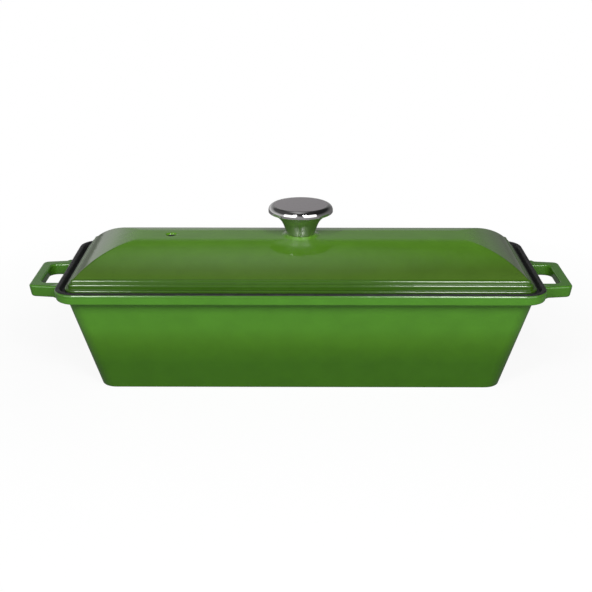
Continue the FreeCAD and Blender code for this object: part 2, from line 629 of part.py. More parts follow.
def make_screw():
    """The screw that holds the knob from inside the lid, with a wide flange."""
    body = new_body("knob_screw")
    flange_z = f"({UNDERSIDE_Z} - Sizes.flange_thick)"
    head_z = f"({flange_z} - Sizes.head_height)"
    tip_z = f"({SEAT_Z} + Sizes.screw_bite)"
    head = "(Sizes.head_size / 2)"
    flange = "(Sizes.screw_flange / 2)"
    shank = "(Sizes.screw_size / 2)"
    section = new_sketch(body, "screw_section", "XZ_Plane")
    draw_polygon(section, [
        ("0", head_z), (head, head_z), (head, flange_z), (flange, flange_z),
        (flange, UNDERSIDE_Z), (shank, UNDERSIDE_Z), (shank, tip_z), ("0", tip_z),
    ])
    turned = add_turning(body, "shank_and_head", section)
    add_fillet(body, "head_rounding", turned, "Sizes.head_edge",
               lambda edge: lies_at(edge, value(head_z)))
    cross = new_sketch(body, "cross_outline", "XY_Plane", head_z)
    long_half, slim_half = "(Sizes.slot_length / 2)", "(Sizes.slot_width / 2)"
    quarter = [(long_half, slim_half), (slim_half, slim_half), (slim_half, long_half)]
    mirrored = [(f"-{x}", y) for x, y in reversed(quarter)]
    upper = quarter + mirrored
    lower = [(x, f"-{y}") for x, y in reversed(upper)]
    draw_polygon(cross, upper + lower)
    pocket = body.newObject("PartDesign::Pocket", "cross")
    pocket.Profile = cross
    pocket.Reversed = True
    pocket.setExpression("Length", "Sizes.slot_depth")
    doc.recompute()
    return body


pieces = [make_pan(), make_lid(), make_knob(), make_screw()]
doc.recompute()

failed = [
    thing.Name for thing in doc.Objects
    if "Invalid" in thing.State or "Error" in thing.State
]
if failed:
    raise RuntimeError(f"objects that failed: {failed}")
for piece in pieces:
    if piece.Shape.isNull() or not piece.Shape.isValid():
        raise RuntimeError(f"{piece.Label} has no valid shape")
    if len(piece.Shape.Solids) != 1:
        raise RuntimeError(f"{piece.Label} is not one solid")

os.makedirs("parts", exist_ok=True)
for piece in pieces:
    piece.Shape.exportStep(f"parts/{piece.Label}.step")
    box = piece.Shape.BoundBox
    print(f"{piece.Label}: volume {piece.Shape.Volume / 1000:.1f} cm3, "
          f"x {box.XMin:.2f} to {box.XMax:.2f}, y {box.YMin:.2f} to {box.YMax:.2f}, "
          f"z {box.ZMin:.2f} to {box.ZMax:.2f}")
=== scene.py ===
import math

import bpy
import numpy as np
from mathutils import Euler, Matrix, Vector


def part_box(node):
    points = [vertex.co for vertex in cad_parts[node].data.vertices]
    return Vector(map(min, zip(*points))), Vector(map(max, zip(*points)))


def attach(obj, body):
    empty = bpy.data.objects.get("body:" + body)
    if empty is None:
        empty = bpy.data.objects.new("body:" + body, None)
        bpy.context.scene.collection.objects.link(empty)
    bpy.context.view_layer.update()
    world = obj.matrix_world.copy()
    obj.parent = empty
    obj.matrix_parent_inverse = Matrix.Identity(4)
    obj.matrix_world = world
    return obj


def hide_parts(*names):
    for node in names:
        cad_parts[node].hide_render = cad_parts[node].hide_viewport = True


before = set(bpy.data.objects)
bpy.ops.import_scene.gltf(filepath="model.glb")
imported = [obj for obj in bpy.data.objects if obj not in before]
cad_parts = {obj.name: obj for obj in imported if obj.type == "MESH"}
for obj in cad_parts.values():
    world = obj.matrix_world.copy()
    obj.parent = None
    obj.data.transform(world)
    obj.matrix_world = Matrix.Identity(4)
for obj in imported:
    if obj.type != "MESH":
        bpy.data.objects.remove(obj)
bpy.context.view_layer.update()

MM = 0.001

# Places read from the frame, in mm
KNOB_LOW, KNOB_HIGH = (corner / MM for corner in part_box("knob"))
RIM_Z = (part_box("pan")[1] / MM).z
LEDGE_Z = (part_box("lid")[0] / MM).z
SEAT_Z = KNOB_LOW.z
KNOB_TOP_Z = KNOB_HIGH.z

# The rim seen from above, in mm. Every inset is measured inward from its outer edge.
RIM_HALF_X = 175.0
RIM_HALF_Y = 66.5
RIM_CORNER = 17.0

# The pan's section. Its end walls lie END_EXTRA further in than its side walls.
LAND = 4.1
COLLAR_DEPTH = 8.0
COLLAR_SETBACK = 1.6
WALL_INSET = 8.0
END_EXTRA = 0.7
WALL_LEAN = math.tan(math.radians(14.2))
WALL_CORNER = 11.0
WALL = 4.0
FLOOR = 4.0
RECESS_SLOPE = 1.2
SHOULDER_Z = RIM_Z - COLLAR_DEPTH
# The base and the floor are closed inside a last ring, this far in and with a corner this much tighter
CAP_INSET = 16.0
CAP_TIGHTER = 4.0

# A rounding is its radius and the steps of its arc. The pan's run from the foot over the rim to the floor.
UNROUNDED = (0, 0)
FOOT_EDGE = (1.5, 6)
WALL_TOP_FILLET = (1.6, 6)
COLLAR_EDGE = (1.2, 6)
RIM_EDGE = (2.0, 12)
LAND_EDGE = (1.0, 6)
LEDGE_FILLET = (0.8, 4)
LEDGE_EDGE = (1.2, 6)
FLOOR_FILLET = (6.0, 8)
# The step of the rim's rounding where the green enamel meets the black
ENAMEL_STEP = 7
PAN_CORNER_STEPS = 12


def outer_wall(height, corner):
    """The pan's outer wall at a height: inset, height, corner and what the ends are further in."""
    return (WALL_INSET + (SHOULDER_Z - height) * WALL_LEAN, height, corner, END_EXTRA)


def inner_wall(height, corner):
    """The pan's inner wall at a height, laid out as the outer one."""
    inset = outer_wall(height, corner)[0] + WALL * math.hypot(1, WALL_LEAN)
    return (inset, height, corner, END_EXTRA)


# The handles
HANDLE_END_X = RIM_HALF_X + 23.85
HANDLE_TOP_Z = RIM_Z - 6.2
HANDLE_THICK = 9.2
HANDLE_END_HALF = 28.0
HANDLE_SPLAY = math.tan(math.radians(8.6))
HANDLE_BAR = 8.0
HOLE_HALF = 21.0
HANDLE_CORNER = 5.0
HANDLE_DRAFT = math.tan(math.radians(10))
HANDLE_EDGE = 1.6
HANDLE_ROOT_X = RIM_HALF_X - 12.0
# How far the handles swell where they meet the collar, and the share of it that goes up and down
HANDLE_FLARE = 0.8
FLARE_UPRIGHT = 0.6
HANDLE_CORNER_STEPS = 8
HANDLE_EDGE_STEPS = 5
HANDLE_LINES = 14

# The lid's section
FLANGE_INSET = 7.8
STEP_INSET = 10.6
SHOULDER_INSET = 12.6
DOME_INSET = 14.4
# The flange's foot is painted black up to here, as painted shade and a painted reflection of the black rim in
# the gap
FLANGE_BLACK_Z = LEDGE_Z + 2.3
FLANGE_TOP_Z = LEDGE_Z + 4.0
STEP_TOP_Z = FLANGE_TOP_Z + 3.7
SPRING_Z = STEP_TOP_Z + 2.6
FLANGE_FOOT_EDGE = (0.5, 4)
FLANGE_EDGE = (1.1, 8)
STEP_EDGE = (1.5, 10)
SHOULDER_EDGE = (1.6, 12)
STEP_FILLET = (0.15, 2)
STEP_CORNER = 4.2
SHOULDER_CORNER = 2.2
DOME_RISE = 17.4
CROWN_HALF = 8.7
CROWN_Z = SPRING_Z + DOME_RISE
LID_WALL = 4.0
ARCH_INSET = RIM_HALF_Y - CROWN_HALF
ARCH_RUN = ARCH_INSET - DOME_INSET
ARCH_RADIUS = (ARCH_RUN ** 2 + DOME_RISE ** 2) / (2 * DOME_RISE)
CREASE_RADIUS = 1.4
# The arch's even rings start this far inside its foot
ARCH_START = 2.0
LID_CORNER_STEPS = 6
# The crown's lines stay this far from the ends of its sides
CROWN_MARGIN_X = 1.8
CROWN_MARGIN_Y = 0.3
VENT_X = -96.0
VENT_RADIUS = 3.5
VENT_LIP = 1.5
SEAT_RADIUS = 10.0
SEAT_FLARE = 14.5
SCREW_HOLE_RADIUS = 3.3
VENT_SIDES = 48
SCREW_HOLE_SIDES = 32

# The knob's section
KNOB_RADIUS = KNOB_HIGH.x
KNOB_BEAD = 4.0
KNOB_SIDE = 1.4
KNOB_EDGE = (0.5, 6)
KNOB_FOOT = 10.0
KNOB_FOOT_EDGE = (0.4, 4)
KNOB_TAPER = math.radians(21)
KNOB_FLARE = math.radians(24)
KNOB_NECK = (15.2, 32)
KNOB_SIDES = 160
# The rings of the flat top, as shares of its radius
TOP_RINGS = (0.97, 0.8, 0.6, 0.4, 0.2, 0.05)
BORE_RADIUS = 3.05
BORE_DEPTH = 15.0

# The photograph's camera: 592 by 592 pixels, its place fitted to the rim, walls and lid
PHOTO_SIDE = 592
FOCAL_PIXELS = 1146.5
CAMERA_PLACE = (0.68, -814.9, 354.1)
CAMERA_DOWN = 19.99
CAMERA_TURN = 0.29
SENSOR = 36.0

# Faces that meet at more than this many degrees keep a sharp edge
SHARP_ANGLE = 35
# How far wide faces win over narrow ones in the shading, where 50 is neutral
WIDE_FACE_WEIGHT = 60
# The most of a section's side that the rounding at its end may take
MOST_TRIM = 0.93

# What a mesh's faces are painted with: the numbers of its materials
GREEN, BLACK = 0, 1
POLISHED, BRUSHED, SATIN = 0, 1, 2

# Most of a noise's values lie between these
NOISE_LOW, NOISE_HIGH = 0.3, 0.7

# Depths of the surfaces' bumps, in metres
WAVE_DEPTH = 0.00009
RIPPLE_DEPTH = 0.00004
GRAIN_DEPTH = 0.00012
BRUSH_DEPTH = 0.00001

# The green enamel's colour at heights in mm, which carries painted shade and painted reflection, its mottle,
# and the painted shade that darkens it on the handles
# Painted shade on the pan: darker towards the foot, lightest high on the walls and darker again at the rim's
# rounding
PAN_TONES_WITH_PAINTED_SHADE = [
    (22, (0.037, 0.129, 0.003)),
    (33, (0.047, 0.154, 0.004)),
    (42, (0.060, 0.187, 0.008)),
    (52, (0.071, 0.226, 0.015)),
    (79, (0.070, 0.234, 0.018)),
    (81, (0.048, 0.155, 0.011)),
]
# Painted shade and painted reflection on the lid: dark at the flange and steps, brownish low on the arch,
# lightest on the crown
LID_TONES_WITH_PAINTED_LIGHT = [
    (81, (0.028, 0.080, 0.005)),
    (88.6, (0.036, 0.102, 0.006)),
    (89.4, (0.053, 0.112, 0.013)),
    (94, (0.050, 0.108, 0.012)),
    (99, (0.056, 0.140, 0.012)),
    (104, (0.072, 0.190, 0.014)),
    (106, (0.093, 0.250, 0.017)),
]
MOTTLE = (0.94, 1.06)
# Painted shade: the handles are darkened to this share of the colour, fading in over this reach in mm past
# the rim's ends
HANDLE_SHADE_SHARE = 0.78
HANDLE_SHADE_REACH = 1.5

# The paper under the pan: its side in metres, its tone as seen, and its tone for the light that it sends back
PAPER_SIDE = 3
PAPER_SEEN = 0.93
PAPER_LIT = 0.22
# Its own white by the distance from the middle, as near, far, share when near and share when far
CAMERA_FADE = (0.2, 0.42, 0.9, 1)
GLOSS_FADE = (0.3, 0.6, 0, 0.12)

# The world's strength to matt surfaces
WORLD_FILL = 0.11
# The band that glossy surfaces see, as heights of the direction and strengths
BAND = [(0.0, 0.40), (0.12, 0.44), (0.26, 0.28), (0.36, 0.24), (0.52, 0.05)]
# What it is multiplied by, as left, right, factor on the left and factor on the right
BAND_SIDES = (-0.6, 0.4, 1.8, 0.45)
# The glow overhead: the middle of its direction, its half widths, its fade outward and its rise with height
GLOW_PLACE = (-0.05, 0.28, 0.0)
GLOW_HALF_WIDTHS = (0.22, 0.55)
GLOW_FADE = (0.15, 1, 0.55, 0)
GLOW_HEIGHTS = (0.4, 0.8, 0, 1)

# The softboxes as name, place, size and watts, in metres, all aimed at one place
SOFTBOX_TARGET = (0, 0, 0.07)
SOFTBOXES = [
    ("left_panel", (-0.76, -0.95, 0.50), (1.1, 1.1), 5.6),
    ("right_panel", (0.66, -0.97, 0.50), (1.1, 1.1), 6.7),
    ("left_strip", (-0.43, -0.96, 0.84), (0.18, 0.44), 6),
    ("right_strip", (0.30, -1.00, 0.84), (0.24, 0.44), 7.8),
]


class Skin:
    """The points and faces of one mesh, laid out ring by ring, in mm."""

    def __init__(self):
        self.points = []
        self.faces = []
        self.paint = []

    def ring(self, places):
        """Adds points and gives their numbers."""
        first = len(self.points)
        self.points.extend(places)
        return list(range(first, len(self.points)))

    def bridge(self, lower, upper, paint=0, closed=True):
        """Faces between two rings that run the same way round."""
        count = len(lower)
        for here in range(count if closed else count - 1):
            after = (here + 1) % count
            self.faces.append((lower[here], lower[after], upper[after], upper[here]))
            self.paint.append(paint)

    def cap(self, ring, paint=0):
        """One face over a whole ring."""
        self.faces.append(tuple(ring))
        self.paint.append(paint)

    def build(self, name, materials):
        """Makes the object, in metres."""
        mesh = bpy.data.meshes.new(name)
        mesh.from_pydata([Vector(place) * MM for place in self.points], [], self.faces)
        for material in materials:
            mesh.materials.append(material)
        mesh.polygons.foreach_set("material_index", self.paint)
        piece = bpy.data.objects.new(name, mesh)
        bpy.context.collection.objects.link(piece)
        smooth(piece)
        return piece


def smooth(piece):
    piece.data.shade_smooth()
    piece.data.set_sharp_from_angle(angle=math.radians(SHARP_ANGLE))


def arc_between(before, corner, after, radius, count):
    """Points of the arc that rounds a corner of a section. Extra values run along with it."""
    before, corner, after = (np.array(place, float) for place in (before, corner, after))
    back = before - corner
    ahead = after - corner
    back_length = np.hypot(*back[:2])
    ahead_length = np.hypot(*ahead[:2])
    to_back, to_ahead = back / back_length, ahead / ahead_length
    opening = math.acos(np.clip(np.dot(to_back[:2], to_ahead[:2]), -1, 1))
    trim = radius / math.tan(opening / 2)
    trim = min(trim, MOST_TRIM * back_length, MOST_TRIM * ahead_length)
    radius = trim * math.tan(opening / 2)
    start, end = corner + to_back * trim, corner + to_ahead * trim
    middle = to_back[:2] + to_ahead[:2]
    centre = corner[:2] + middle / np.hypot(*middle) * radius / math.sin(opening / 2)
    first, last = start[:2] - centre, end[:2] - centre
    turn = math.atan2(first[0] * last[1] - first[1] * last[0], np.dot(first, last))
    places = []
    for step in range(count + 1):
        share = step / count
        angle = turn * share
        spun = np.array([first[0] * math.cos(angle) - first[1] * math.sin(angle),
                         first[0] * math.sin(angle) + first[1] * math.cos(angle)])
        places.append(np.concatenate([centre + spun, start[2:] + (end[2:] - start[2:]) * share]))
    return places


def round_section(corners):
    """A section as (place, paint) from corners of (place, radius, arc steps, paint, arc paint)."""
    section = []
    for number, (place, radius, steps, paint, arc_paint) in enumerate(corners):
        if radius == 0 or number in (0, len(corners) - 1):
            section.append((np.array(place, float), paint))
            continue
        before, after = corners[number - 1][0], corners[number + 1][0]
        arc = arc_between(before, place, after, radius, steps)
        for step, spot in enumerate(arc):
            section.append((spot, paint if step == len(arc) - 1 else arc_paint(step)))
    return section


def box_ring(spot, corner_steps, x_lines, y_lines):
    """A round-cornered rectangle about the origin, anticlockwise from its right side.

    The lines are shares of a side's straight run, from -1 to 1.
    """
    inset, height, corner, end_extra = spot
    half_x, half_y = RIM_HALF_X - inset - end_extra, RIM_HALF_Y - inset
    run_x, run_y = half_x - corner, half_y - corner
    places = []
    sides = [
        ([(half_x, line * run_y) for line in y_lines], (1, 1)),
        ([(-line * run_x, half_y) for line in x_lines], (-1, 1)),
        ([(-half_x, -line * run_y) for line in y_lines], (-1, -1)),
        ([(line * run_x, -half_y) for line in x_lines], (1, -1)),
    ]
    for number, (line_places, at) in enumerate(sides):
        places.extend((x, y, height) for x, y in line_places)
        centre_x, centre_y = at[0] * run_x, at[1] * run_y
        start = math.radians(90 * number)
        for step in range(corner_steps + 1):
            angle = start + math.radians(90) * step / corner_steps
            x, y = centre_x + corner * math.cos(angle), centre_y + corner * math.sin(angle)
            places.append((x, y, height))
    return places


def spread(half, count):
    """Evenly spaced places from -half to half."""
    return [half * (2 * step / (count - 1) - 1) for step in range(count)]


# The lines of the pan's long and short sides
X_LINES = spread(0.985, count=69)
Y_LINES = spread(0.95, count=18)


def green(step):
    return GREEN


def black(step):
    return BLACK


def black_above_line(step):
    return GREEN if step < ENAMEL_STEP else BLACK


def sweep_box(skin, section, corner_steps, x_lines, y_lines, shift=None):
    """Carries a section round the pan, with each place of a ring moved by shift if that is given."""
    rings = []
    for spot, _ in section:
        places = box_ring(spot, corner_steps, x_lines, y_lines)
        rings.append(skin.ring([shift(place, spot) for place in places] if shift else places))
    for number in range(len(rings) - 1):
        skin.bridge(rings[number], rings[number + 1], section[number][1])
    return rings


def make_pan_shell(materials):
    """The pan without its handles: base, walls, collar, rim with its step, and cavity."""
    cavity_corner = WALL_CORNER - WALL
    recess_inset = LAND + RECESS_SLOPE
    foot, floor = outer_wall(0, WALL_CORNER), inner_wall(FLOOR, cavity_corner)
    section = round_section([
        ((foot[0] + CAP_INSET, 0, WALL_CORNER - CAP_TIGHTER, foot[3]), *UNROUNDED, GREEN, None),
        (foot, *FOOT_EDGE, GREEN, green),
        (outer_wall(SHOULDER_Z, WALL_CORNER), *WALL_TOP_FILLET, GREEN, green),
        ((COLLAR_SETBACK, SHOULDER_Z, RIM_CORNER - COLLAR_SETBACK, 0), *COLLAR_EDGE, GREEN, green),
        ((0, RIM_Z, RIM_CORNER, 0), *RIM_EDGE, BLACK, black_above_line),
        ((LAND, RIM_Z, RIM_CORNER - LAND, 0), *LAND_EDGE, BLACK, black),
        ((recess_inset, LEDGE_Z, RIM_CORNER - recess_inset, 0), *LEDGE_FILLET, BLACK, black),
        (inner_wall(LEDGE_Z, cavity_corner), *LEDGE_EDGE, BLACK, black),
        (floor, *FLOOR_FILLET, BLACK, black),
        ((floor[0] + CAP_INSET, FLOOR, cavity_corner - CAP_TIGHTER, floor[3]), *UNROUNDED, BLACK, None),
    ])
    skin = Skin()
    rings = sweep_box(skin, section, PAN_CORNER_STEPS, X_LINES, Y_LINES)
    skin.cap(rings[0][::-1], GREEN)
    skin.cap(rings[-1], BLACK)
    return skin.build("pan_enamelled", materials)


def half_outline(corner_place, root_y):
    """Half of a handle's outline with its normals, from its root round one corner nearly to the middle."""
    root_x, lines = HANDLE_ROOT_X, HANDLE_LINES
    end_x, end_y = corner_place
    arc = arc_between((root_x, root_y), (end_x, end_y), (end_x, 0), HANDLE_CORNER, HANDLE_CORNER_STEPS)
    along = np.array([end_x - root_x, end_y - root_y])
    along = along / np.hypot(*along)
    arm_normal = np.array([-along[1], along[0]])
    places = []
    start = np.array([root_x, root_y])
    for line in range(lines):
        places.append((start + (arc[0] - start) * line / lines, arm_normal))
    turn = math.acos(np.clip(arm_normal[0], -1, 1))
    for step, spot in enumerate(arc):
        angle = turn * (1 - step / (len(arc) - 1))
        places.append((spot, np.array([math.cos(angle), math.sin(angle)])))
    for line in range(1, lines):
        spot = arc[-1] + (np.array([end_x, 0]) - arc[-1]) * line / lines
        places.append((spot, np.array([1.0, 0.0])))
    return places


def handle_outline(corner_place, root_y):
    """A handle's whole outline from one root to the other, with its outward normals."""
    half = half_outline(corner_place, root_y)
    end_x = corner_place[0]
    middle = [(np.array([end_x, 0.0]), np.array([1.0, 0.0]))]
    other = [(spot * (1, -1), normal * (1, -1)) for spot, normal in reversed(half)]
    return half + middle + other


def make_handle(name, side, materials):
    """A loop of drafted, round-edged section, flared a little where it meets the collar."""
    outer_root_y = HANDLE_END_HALF + (HANDLE_END_X - HANDLE_ROOT_X) * HANDLE_SPLAY
    outer = handle_outline((HANDLE_END_X, HANDLE_END_HALF), outer_root_y)
    inner = handle_outline((HANDLE_END_X - HANDLE_BAR, HOLE_HALF), HOLE_HALF)
    skin = Skin()
    rings = []
    for (outer_spot, outer_normal), (inner_spot, inner_normal) in zip(outer, inner):
        reach = min(outer_spot[0], inner_spot[0]) - RIM_HALF_X
        gap = np.clip(reach / HANDLE_FLARE, 0, 1)
        flare = HANDLE_FLARE * (1 - math.sqrt(1 - (1 - gap) ** 2))
        ring = []
        for edge_side, top in ((1, True), (1, False), (0, False), (0, True)):
            for step in range(HANDLE_EDGE_STEPS + 1):
                share = step / HANDLE_EDGE_STEPS
                if (edge_side == 1) != top:
                    share = 1 - share
                angle = share * math.pi / 2
                sideways = HANDLE_EDGE * (1 - math.sin(angle))
                down = HANDLE_EDGE * (1 - math.cos(angle))
                depth = down if top else HANDLE_THICK - down
                inward = sideways + depth * HANDLE_DRAFT - flare
                height = HANDLE_TOP_Z - depth + (flare if top else -flare) * FLARE_UPRIGHT
                if edge_side == 1:
                    spot = outer_spot - outer_normal * inward
                else:
                    spot = inner_spot + inner_normal * inward
                ring.append((side * spot[0], spot[1], height))
        rings.append(skin.ring(ring if side > 0 else ring[::-1]))
    for number in range(len(rings) - 1):
        skin.bridge(rings[number], rings[number + 1], GREEN)
    skin.cap(rings[0][::-1], GREEN)
    skin.cap(rings[-1], GREEN)
    return skin.build(name, materials)


def apply_boolean(piece, tool, operation):
    """Joins the tool to the piece, or cuts it out, and removes the tool."""
    modifier = piece.modifiers.new("boolean", "BOOLEAN")
    modifier.operation = operation
    modifier.solver = "EXACT"
    modifier.object = tool
    graph = bpy.context.evaluated_depsgraph_get()
    result = bpy.data.meshes.new_from_object(piece.evaluated_get(graph))
    piece.modifiers.clear()
    old = piece.data
    piece.data = result
    bpy.data.meshes.remove(old)
    bpy.data.objects.remove(tool)


def weigh_normals(piece):
    """Keeps wide faces flat beside narrow roundings."""
    modifier = piece.modifiers.new("normals", "WEIGHTED_NORMAL")
    modifier.keep_sharp = True
    modifier.weight = WIDE_FACE_WEIGHT


def make_pan(materials):
    pan = make_pan_shell(materials)
    for name, side in (("right_loop", 1), ("left_loop", -1)):
        apply_boolean(pan, make_handle(name, side, materials), "UNION")
    smooth(pan)
    weigh_normals(pan)
    return pan


def seat_swell(x, y):
    """How far the knob's seat lifts the lid at a place: a level top that runs out smoothly."""
    radius = math.hypot(x, y)
    share = np.clip((SEAT_FLARE - radius) / (SEAT_FLARE - SEAT_RADIUS), 0, 1)
    return (SEAT_Z - CROWN_Z) * share ** 2 * (3 - 2 * share)


def dome_height(inset):
    """The arched top's height at an inset, before the knob's seat."""
    run = max(ARCH_INSET - inset, 0)
    return CROWN_Z - ARCH_RADIUS + math.sqrt(ARCH_RADIUS ** 2 - run ** 2)


def crown_lines(half, reach, fine_step, coarse_step):
    """Places from -half to half, close together within reach of the middle."""
    fine = int(reach / fine_step)
    places = [step * fine_step for step in range(-fine, fine + 1)]
    edge = fine * fine_step
    count = max(int(round((half - edge) / coarse_step)), 1)
    outer = [edge + (half - edge) * step / count for step in range(1, count + 1)]
    return [-place for place in reversed(outer)] + places + outer


def make_lid(materials):
    """The lid: three stepped edges, mitred arches, a level crown and the swell of the knob's seat."""
    crown_x, crown_y = RIM_HALF_X - ARCH_INSET - CREASE_RADIUS, CROWN_HALF - CREASE_RADIUS
    x_places = crown_lines(crown_x - CROWN_MARGIN_X, reach=20.0, fine_step=0.8, coarse_step=4.0)
    y_places = spread(crown_y - CROWN_MARGIN_Y, count=15)
    x_lines = [place / crown_x for place in x_places]
    y_lines = [place / crown_y for place in y_places]

    def at(inset, height, corner=CREASE_RADIUS):
        return (inset, height, corner, 0)

    flange_corner = RIM_CORNER - FLANGE_INSET
    slope_end = DOME_INSET + ARCH_START
    inner_root_inset = STEP_INSET + LID_WALL
    inner_radius = ARCH_RADIUS - LID_WALL
    arch_centre_z = CROWN_Z - ARCH_RADIUS
    stepped = round_section([
        (at(inner_root_inset, LEDGE_Z), *UNROUNDED, BLACK, None),
        # The flange's foot is painted black: painted shade and painted reflection of the black rim
        (at(FLANGE_INSET, LEDGE_Z, flange_corner), *FLANGE_FOOT_EDGE, BLACK, black),
        (at(FLANGE_INSET, FLANGE_BLACK_Z, flange_corner), *UNROUNDED, GREEN, None),
        (at(FLANGE_INSET, FLANGE_TOP_Z, flange_corner), *FLANGE_EDGE, GREEN, green),
        (at(STEP_INSET, FLANGE_TOP_Z, STEP_CORNER), *STEP_FILLET, GREEN, green),
        (at(STEP_INSET, STEP_TOP_Z, STEP_CORNER), *STEP_EDGE, GREEN, green),
        (at(SHOULDER_INSET, STEP_TOP_Z, SHOULDER_CORNER), *STEP_FILLET, GREEN, green),
        (at(SHOULDER_INSET, SPRING_Z, SHOULDER_CORNER), *SHOULDER_EDGE, GREEN, green),
        (at(DOME_INSET, SPRING_Z), *STEP_FILLET, GREEN, green),
        (at(slope_end, dome_height(slope_end)), *UNROUNDED, GREEN, None),
    ])
    arch_rings = 58
    dome = []
    for step in range(1, arch_rings + 1):
        inset = slope_end + (ARCH_INSET - slope_end) * step / arch_rings
        dome.append((at(inset, dome_height(inset)), GREEN))

    def swell(place, spot):
        x, y, z = place
        return (x, y, z + seat_swell(x, y)) if spot[0] > slope_end else place

    skin = Skin()
    rings = sweep_box(skin, stepped + dome, LID_CORNER_STEPS, x_lines, y_lines, swell)
    fill_crown(skin, rings[-1], x_places, y_places, CROWN_Z)

    inner_rings = [rings[0]]
    inner_arch_rings = 24
    for step in range(inner_arch_rings + 1):
        inset = inner_root_inset + (ARCH_INSET - inner_root_inset) * step / inner_arch_rings
        height = arch_centre_z + math.sqrt(inner_radius ** 2 - (ARCH_INSET - inset) ** 2)
        places = box_ring(at(inset, height), LID_CORNER_STEPS, x_lines, y_lines)
        inner_rings.append(skin.ring(places))
    for number in range(len(inner_rings) - 1):
        skin.bridge(inner_rings[number + 1], inner_rings[number], BLACK)
    skin.cap(inner_rings[-1][::-1], BLACK)
    lid = skin.build("lid_enamelled", materials)
    apply_boolean(lid, make_vent_cutter(materials), "DIFFERENCE")
    apply_boolean(lid, make_screw_cutter(materials), "DIFFERENCE")
    smooth(lid)
    weigh_normals(lid)
    return lid


def fill_crown(skin, ring, x_places, y_places, height):
    """Level faces inside the last ring, on the same lines as its sides, for the seat's swell."""
    x_count, y_count, corner = len(x_places), len(y_places), LID_CORNER_STEPS + 1
    right = ring[:y_count]
    top_start = y_count + corner
    top = ring[top_start:top_start + x_count][::-1]
    left_start = top_start + x_count + corner
    left = ring[left_start:left_start + y_count][::-1]
    bottom_start = left_start + y_count + corner
    bottom = ring[bottom_start:bottom_start + x_count]
    corners = {
        "top_right": ring[y_count:top_start],
        "top_left": ring[top_start + x_count:left_start],
        "bottom_left": ring[left_start + y_count:bottom_start],
        "bottom_right": ring[bottom_start + x_count:],
    }
    grid = []
    for y in y_places:
        grid.append(skin.ring([(x, y, height + seat_swell(x, y)) for x in x_places]))
    rows = [bottom] + grid + [top]
    for number in range(len(rows) - 1):
        skin.bridge(rows[number], rows[number + 1], GREEN, closed=False)
    for number in range(y_count - 1):
        skin.cap((grid[number][-1], right[number], right[number + 1], grid[number + 1][-1]), GREEN)
        skin.cap((left[number], grid[number][0], grid[number + 1][0], left[number + 1]), GREEN)
    skin.cap([bottom[-1]] + corners["bottom_right"] + [right[0], grid[0][-1]], GREEN)
    skin.cap([grid[-1][-1], right[-1]] + corners["top_right"] + [top[-1]], GREEN)
    skin.cap([grid[-1][0], top[0]] + corners["top_left"] + [left[-1]], GREEN)
    skin.cap([bottom[0], grid[0][0], left[0]] + corners["bottom_left"], GREEN)


def circle_ring(radius, height, count, centre_x=0.0):
    turns = [2 * math.pi * step / count for step in range(count)]
    return [(centre_x + radius * math.cos(turn), radius * math.sin(turn), height) for turn in turns]


def turn_section(skin, section, count, centre_x=0.0):
    """Turns a section of (radius, height, paint) about an upright axis and closes both ends."""
    rings = [skin.ring(circle_ring(radius, height, count, centre_x)) for radius, height, _ in section]
    for number in range(len(rings) - 1):
        skin.bridge(rings[number], rings[number + 1], section[number][2])
    skin.cap(rings[0][::-1], section[0][2])
    skin.cap(rings[-1], section[-2][2])


def make_vent_cutter(materials):
    """The vent's bore with its round mouth, which meets the crown without an edge."""
    # The bore below the mouth is painted black as painted shade down in the hole
    section = [(VENT_RADIUS, CROWN_Z - 2 * LID_WALL, BLACK)]
    steps = 8
    for step in range(steps + 1):
        angle = math.pi / 2 * step / steps
        radius = VENT_RADIUS + VENT_LIP * (1 - math.cos(angle))
        section.append((radius, CROWN_Z - VENT_LIP * (1 - math.sin(angle)), GREEN))
    section.append((VENT_RADIUS + VENT_LIP, CROWN_Z + VENT_LIP, GREEN))
    skin = Skin()
    turn_section(skin, section, VENT_SIDES, VENT_X)
    return skin.build("vent_cutter", materials)


def make_screw_cutter(materials):
    skin = Skin()
    section = [
        (SCREW_HOLE_RADIUS, CROWN_Z - 2 * LID_WALL, GREEN),
        (SCREW_HOLE_RADIUS, SEAT_Z + LID_WALL, GREEN),
    ]
    turn_section(skin, section, SCREW_HOLE_SIDES)
    return skin.build("screw_cutter", materials)


